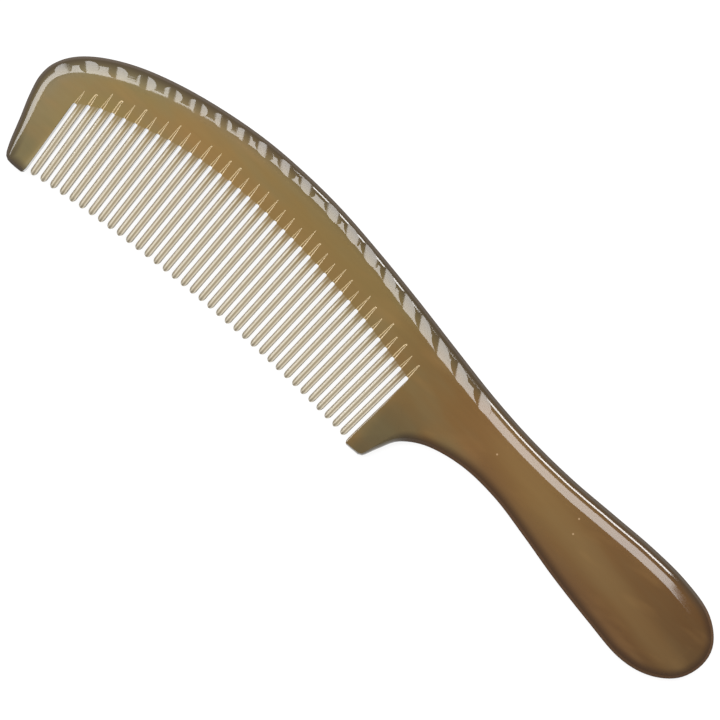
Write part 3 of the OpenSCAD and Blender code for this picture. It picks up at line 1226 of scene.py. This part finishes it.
@dataclass(frozen=True)
class Horn:
    """Polished ox horn: olive-brown, slightly cloudy, with painted shade towards its thin rounded edge."""

    name: str = "polished_horn"
    gain: float = 0.88
    roughness: float = 0.07
    ior: float = 1.54
    # share of the gold of fresh horn, where a tool cut it
    golden: float = 0.0
    grain: float = 0.07
    # places of three pale flecks in the handle, and where a fleck starts and stops fading
    flecks: tuple = ((149.5, 19.9), (150.6, 16.6), (127.2, 19.2))
    fleck_fade: tuple = (0.08, 0.3)
    # the colour along the comb: x, and its red, green and blue
    ground: tuple = (
        (4, (136, 118, 80)),
        (14, (139, 118, 69)),
        (32, (144, 114, 65)),
        (60, (134, 108, 60)),
        (90, (128, 105, 60)),
        (105, (120, 91, 48)),
        (122, (122, 88, 46)),
        (140, (122, 91, 48)),
        (160, (112, 80, 42)),
        (186, (93, 63, 29)),
    )
    # the matt rim, painted shade of the rounded edge: gains on its outer and inner tone, and its roughness
    rim_shade_gain: tuple = (0.7, 0.72)
    rim_roughness: float = 0.8
    # strength and height in metres of the waves that polishing by hand leaves
    wave: tuple = (0.04, 0.0004)

    def material(self) -> bpy.types.Material:
        """Build the horn's nodes."""
        g = Graph(self.name)
        coat = Coat(g, self.gain, self.ground)
        self.clouds(coat)
        self.tooth_plate(coat)
        self.guards(coat)
        self.handle(coat)
        self.teeth(coat)
        self.back(coat)
        # end of the right guard
        end = coat.y.fall(6.0, 12.0) * coat.x.band(99.0, 101.0, 108.0, 112.0)
        # the painted shade of the edge and of the rim is a warmer brown under the handle and round its tip
        warm = coat.x.ramp(106.0, 118.0) * (1.0 - coat.over.ramp(-4.0, 3.0) * coat.x.fall(178.0, 186.0))
        self.shade(coat, warm)
        if self.golden:
            coat.tint(self.golden, Tone.SAWN_GOLD)
        rub = g.noise(g.turned(coat.mm, (0.25, 1.5, 1.0)), detail=3.0)
        polished = g.node(
            "ShaderNodeBsdfPrincipled",
            None,
            {
                "Base Color": coat.colour,
                "Roughness": rub.ramp(0.3, 0.7, self.roughness * 0.8, self.roughness * 1.25),
                "IOR": self.ior,
                "Normal": self.relief(coat),
            },
        )
        # the matt rim: painted shade of the rounded edge, without reflections
        rim = g.node(
            "ShaderNodeBsdfPrincipled",
            None,
            {
                "Base Color": self.rim_shade_colour(coat, warm),
                "Roughness": self.rim_roughness,
                "Specular IOR Level": 0.0,
            },
        )
        # share of the matt rim's painted shade, near the outer edge
        fade = coat.edge.fall(0.5, 0.95) * (1.0 - coat.among) * (1.0 - end)
        sockets = {0: fade, 1: polished.outputs[0], 2: rim.outputs[0]}
        both = g.node("ShaderNodeMixShader", None, sockets)
        g.node("ShaderNodeOutputMaterial", None, {"Surface": both.outputs[0]})
        return g.material

    def clouds(self, coat: Coat) -> None:
        """Lay on the horn's cloudy patches and its long fibres."""
        g = coat.graph
        patch = g.noise(g.turned(coat.mm, (0.035, 0.11, 0.2), -8), detail=2.5, rough=0.55)
        head = 1.0 - coat.x.ramp(118.0, 135.0, 0.0, 0.7)
        coat.tint(patch.ramp(0.42, 0.66, 0.0, 0.3) * head, Tone.CLOUD_GREEN)
        warm = g.noise(g.turned(coat.mm, (0.05, 0.16, 0.2), 6), scale=1.3)
        coat.tint(warm.ramp(0.5, 0.72, 0.0, 0.2), Tone.CLOUD_WARM)
        fibre = g.noise(g.turned(coat.mm, (0.09, 0.9, 0.8), -4), detail=3.0)
        grey = g.node("ShaderNodeCombineColor", None, {0: fibre, 1: fibre, 2: fibre})
        coat.colour = g.mix(self.grain, coat.colour, grey.outputs[0], "SOFT_LIGHT")

    def tooth_plate(self, coat: Coat) -> None:
        """Lay on the paler teeth, their olive tips and the brown blush where the saw ran out."""
        teeth, blank = Teeth(), Blank()
        centre = (
            teeth.tip_middle[0] - blank.length / 2,
            teeth.tip_middle[1] - teeth.tip_radius - blank.width / 2,
            blank.thickness / 2,
        )
        kind = "ShaderNodeVectorMath"
        to_arc = coat.graph.node(kind, {"operation": "SUBTRACT"}, {0: coat.mm, 1: centre})
        far = coat.graph.node(kind, {"operation": "LENGTH"}, {0: to_arc.outputs[0]})
        rho = Field(coat.graph, far.outputs["Value"]) - teeth.tip_radius
        inside = coat.x.band(9.3, 10.6, 99.8, 101.2)
        coat.tint(rho.fall(9.0, 21.0) * inside * 0.45, Tone.TOOTH_PALE)
        coat.tint(rho.fall(0.5, 4.0) * inside * 0.5, Tone.TIP_OLIVE)
        # the run-outs' middles lie on a parabola: x and y of its top, and its curve
        top_x, top_y, curve = 50.0, 27.6, 0.0029
        above = coat.y - (top_y - (coat.x - top_x) ** 2.0 * curve)
        coat.tint(above.band(-2.0, 0.5, 1.0, 4.5) * inside * 0.12, Tone.ROOT_BLUSH)

    def guards(self, coat: Coat) -> None:
        """Lay painted shade on the ends of the two guards."""
        # painted shade on the ends of both guards
        right = coat.x.ramp(100.0, 104.0) * coat.y.fall(8.0, 19.0) * coat.x.fall(110.0, 114.0)
        coat.tint(right * 0.75, Tone.RIGHT_GUARD)
        left = coat.x.fall(8.0, 11.0) * coat.y.fall(3.0, 15.0)
        coat.tint(left * 0.6, Tone.LEFT_GUARD)

    def handle(self, coat: Coat) -> None:
        """Lay on the handle's pale band, its purplish underside and its flecks."""
        on_handle = coat.x.ramp(116.0, 130.0)
        coat.tint(coat.over.band(-4.5, -0.5, 0.5, 4.5) * on_handle * 0.2, Tone.HANDLE_BAND)
        coat.tint(coat.over.fall(-9.0, -2.0) * on_handle * 0.45, Tone.HANDLE_UNDER)
        for x, y in self.flecks:
            off = ((coat.x - x) ** 2.0 + (coat.y - y) ** 2.0) ** 0.5
            coat.tint(off.fall(*self.fleck_fade) * 0.6, Tone.FLECK)

    def teeth(self, coat: Coat) -> None:
        """Lay on the greyer middle of the teeth, painted shade by each gap's edges and a painted highlight
        along each tooth.
        """
        coat.tint(coat.among * coat.below.ramp(0.5, 7.0, 0.2, 0.75), Tone.TOOTH_GREY)
        start = coat.below.ramp(0.0, 3.0, 0.2, 1.0) * coat.among
        # painted shade on the steep edges of each tooth beside its gap
        edge_shade = coat.aside.size().band(0.38, 0.44, 0.6, 0.74)
        coat.tint(edge_shade * start * 0.6, Tone.TOOTH_DIP)
        # a painted highlight along each tooth, a little to one side
        line = (coat.aside - 0.1).size().band(0.64, 0.8, 0.92, 1.12)
        coat.tint(line * start * 0.8, Tone.TOOTH_LINE)

    def back(self, coat: Coat) -> None:
        """Lay on the greyer left shoulder and painted shade along the edge of the back."""
        shoulder = coat.edge.fall(2.6, 5.6) * coat.x.fall(30.0, 75.0) * coat.y.ramp(14.0, 20.0)
        coat.tint(shoulder * 0.35, Tone.SHOULDER)
        # painted shade along the edge of the back, whose outward slope faces away from the lights
        painted_shade = coat.edge.fall(2.0, 4.2) * coat.x.fall(112.0, 122.0) * coat.y.ramp(16.0, 24.0)
        coat.tint(painted_shade * 0.55, Tone.BACK_DARK)

    def shade(self, coat: Coat, warm: Field) -> None:
        """Paint shade on the horn towards its outer edge, but not at the right guard's end."""
        end = coat.y.fall(9.0, 15.0) * coat.x.band(99.0, 101.0, 107.0, 110.0)
        painted_shade = coat.edge.ramp(0.7, 2.6, 0.75, 0.0) * (1.0 - end * 0.8)
        cool, brown = (paint(*tone.value, self.gain) for tone in (Tone.SHADE, Tone.SHADE_WARM))
        coat.colour = coat.graph.mix(painted_shade, coat.colour, coat.graph.mix(warm, cool, brown))

    def rim_shade_colour(self, coat: Coat, warm: Field) -> bpy.types.NodeSocket:
        """Return the matt rim's painted shade, from its outer tone to its inner one."""
        tones = ((Tone.RIM_OUTER, Tone.RIM_OUTER_WARM), (Tone.RIM_INNER, Tone.RIM_INNER_WARM))
        outer, inner = (
            coat.graph.mix(warm, *(paint(*tone.value, gain) for tone in pair))
            for pair, gain in zip(tones, self.rim_shade_gain)
        )
        return coat.graph.mix(coat.edge.ramp(0.3, 1.1), outer, inner)

    def relief(self, coat: Coat) -> bpy.types.NodeSocket:
        """Return the normal of a hand-polished face, slightly wavy."""
        g = coat.graph
        wave = g.noise(g.turned(coat.mm, (0.1, 0.22, 0.3), 20), detail=1.0)
        strength, height = self.wave
        inputs = {"Strength": strength, "Distance": height, "Height": wave}
        return g.node("ShaderNodeBump", None, inputs).outputs[0]


@dataclass(frozen=True)
class Softbox:
    """A light of a few flat rows. Its angles, in degrees, are those at which the comb sees it."""

    name: str
    # from the picture's right, turning to its top
    azimuth: float
    # half the width of the row nearest to the zenith, and of the row farthest from it
    spread: tuple
    # where it starts and ends, from the zenith down
    zenith: tuple
    radiance: float
    rows: int = 4
    distance: float = 3.0

    def place(self, right: Vector, up: Vector, target: Vector) -> None:
        """Hang the rows of the light.

        Args:
            right: The picture's right in the comb's frame.
            up: The picture's up in the comb's frame.
            target: Point that the light faces.
        """
        az = math.radians(self.azimuth)
        step = (self.zenith[1] - self.zenith[0]) / self.rows
        level = right * math.cos(az) + up * math.sin(az)
        for row in range(self.rows):
            low = math.radians(self.zenith[0] + row * step)
            high = math.radians(self.zenith[0] + (row + 1) * step)
            ze = (low + high) / 2
            away = level * math.sin(ze) + Vector((0, 0, math.cos(ze)))
            rise = (Vector((0, 0, 1)) - away * away.z).normalized()
            side = rise.cross(away)
            share = (row + 0.5) / self.rows
            half = math.radians(self.spread[0] + (self.spread[1] - self.spread[0]) * share)
            lamp = bpy.data.lights.new(f"{self.name}_{row + 1}", "AREA")
            lamp.shape = "RECTANGLE"
            lamp.size = 2 * self.distance * math.tan(half)
            lamp.size_y = 2 * self.distance * math.tan((high - low) / 2)
            lamp.energy = self.radiance * math.pi * lamp.size * lamp.size_y
            turn = Matrix((side, rise, away)).transposed().to_4x4()
            obj = show(lamp.name, lamp)
            obj.matrix_world = Matrix.Translation(target + away * self.distance) @ turn


@dataclass
class Studio:
    """The plain pale floor, the soft lights and the camera straight above the comb. Lengths are in metres."""

    # turn of the picture against the comb in degrees, width of the picture, and the point in its middle
    turn: float = 40.0
    frame_width: float = 0.1544
    aim: tuple = (-0.003253, -0.003733, 0.0025)
    # height of the camera, width of its sensor in mm, and how near and far it sees
    distance: float = 1.0
    sensor: float = 36.0
    clip: tuple = (0.05, 20.0)
    # light from all round, and the floor's own light and tone
    fill: float = 0.32
    floor_glow: float = 0.9
    floor_tone: float = 0.16
    # half the floor's side, and its gap below the comb
    floor_half: float = 4.0
    floor_gap: float = 0.0001
    lights: tuple = (
        Softbox("box_right", 46, (7.3, 8.5), (9, 35), 7.0),
        Softbox("box_left", 127, (10.6, 30.3), (10, 35), 7.0),
        Softbox("strip", 44, (5.6, 5.6), (51.0, 59.5), 18.0, rows=1),
    )

    def axes(self) -> tuple[Vector, Vector]:
        """Return the picture's right and up in the comb's frame."""
        a = math.radians(self.turn)
        return Vector((math.cos(a), math.sin(a), 0)), Vector((-math.sin(a), math.cos(a), 0))

    def build(self) -> None:
        """Lay the floor, hang the lights and set the camera and the world."""
        self.floor()
        right, up = self.axes()
        for light in self.lights:
            light.place(right, up, Vector((0, 0, self.aim[2])))
        world = bpy.data.worlds.new("room")
        world.use_nodes = True
        ground = world.node_tree.nodes["Background"]
        ground.inputs["Color"].default_value = (1.0, 1.0, 1.0, 1.0)
        ground.inputs["Strength"].default_value = self.fill
        bpy.context.scene.world = world
        lens = bpy.data.cameras.new("camera")
        lens.sensor_width = self.sensor
        lens.lens = self.sensor * self.distance / self.frame_width
        lens.clip_start, lens.clip_end = self.clip
        turn = Matrix((right, up, Vector((0, 0, 1)))).transposed().to_4x4()
        camera = show("camera", lens)
        camera.matrix_world = Matrix.Translation(Vector(self.aim) + Vector((0, 0, self.distance))) @ turn
        bpy.context.scene.camera = camera
        view = bpy.context.scene.view_settings
        view.view_transform, view.look = "Standard", "None"
        log.info("studio: %d lights, camera %.2f m above the comb", len(self.lights), self.distance)

    def floor(self) -> None:
        """Lay a plain pale floor that glows faintly, as a light table does."""
        g = Graph("pale_floor")
        tone = self.floor_tone
        shader = g.node(
            "ShaderNodeBsdfPrincipled",
            None,
            {
                "Base Color": (tone, tone, tone, 1.0),
                "Roughness": 0.9,
                "Specular IOR Level": 0.0,
                "Emission Color": (1.0, 1.0, 1.0, 1.0),
                "Emission Strength": self.floor_glow,
            },
        )
        g.node("ShaderNodeOutputMaterial", None, {"Surface": shader.outputs[0]})
        bm = bmesh.new()
        bmesh.ops.create_grid(bm, x_segments=1, y_segments=1, size=self.floor_half)
        bmesh.ops.translate(bm, verts=bm.verts, vec=(0, 0, -self.floor_gap))
        show_mesh("floor", bm, g.material)


def main() -> None:
    """Load the CAD frame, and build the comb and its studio."""
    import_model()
    comb = HornComb().build(
        Horn().material(),
        Horn(name="filed_horn").material(),
        Horn(name="run_lip", roughness=0.35, golden=0.75).material(),
        Horn(name="sawn_horn", roughness=0.5, golden=0.12).material(),
    )
    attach(comb, "root")
    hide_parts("comb")
    log.info("%s: %d materials", comb.name, len(comb.data.materials))
    Studio().build()


if __name__ == "__main__":
    main()
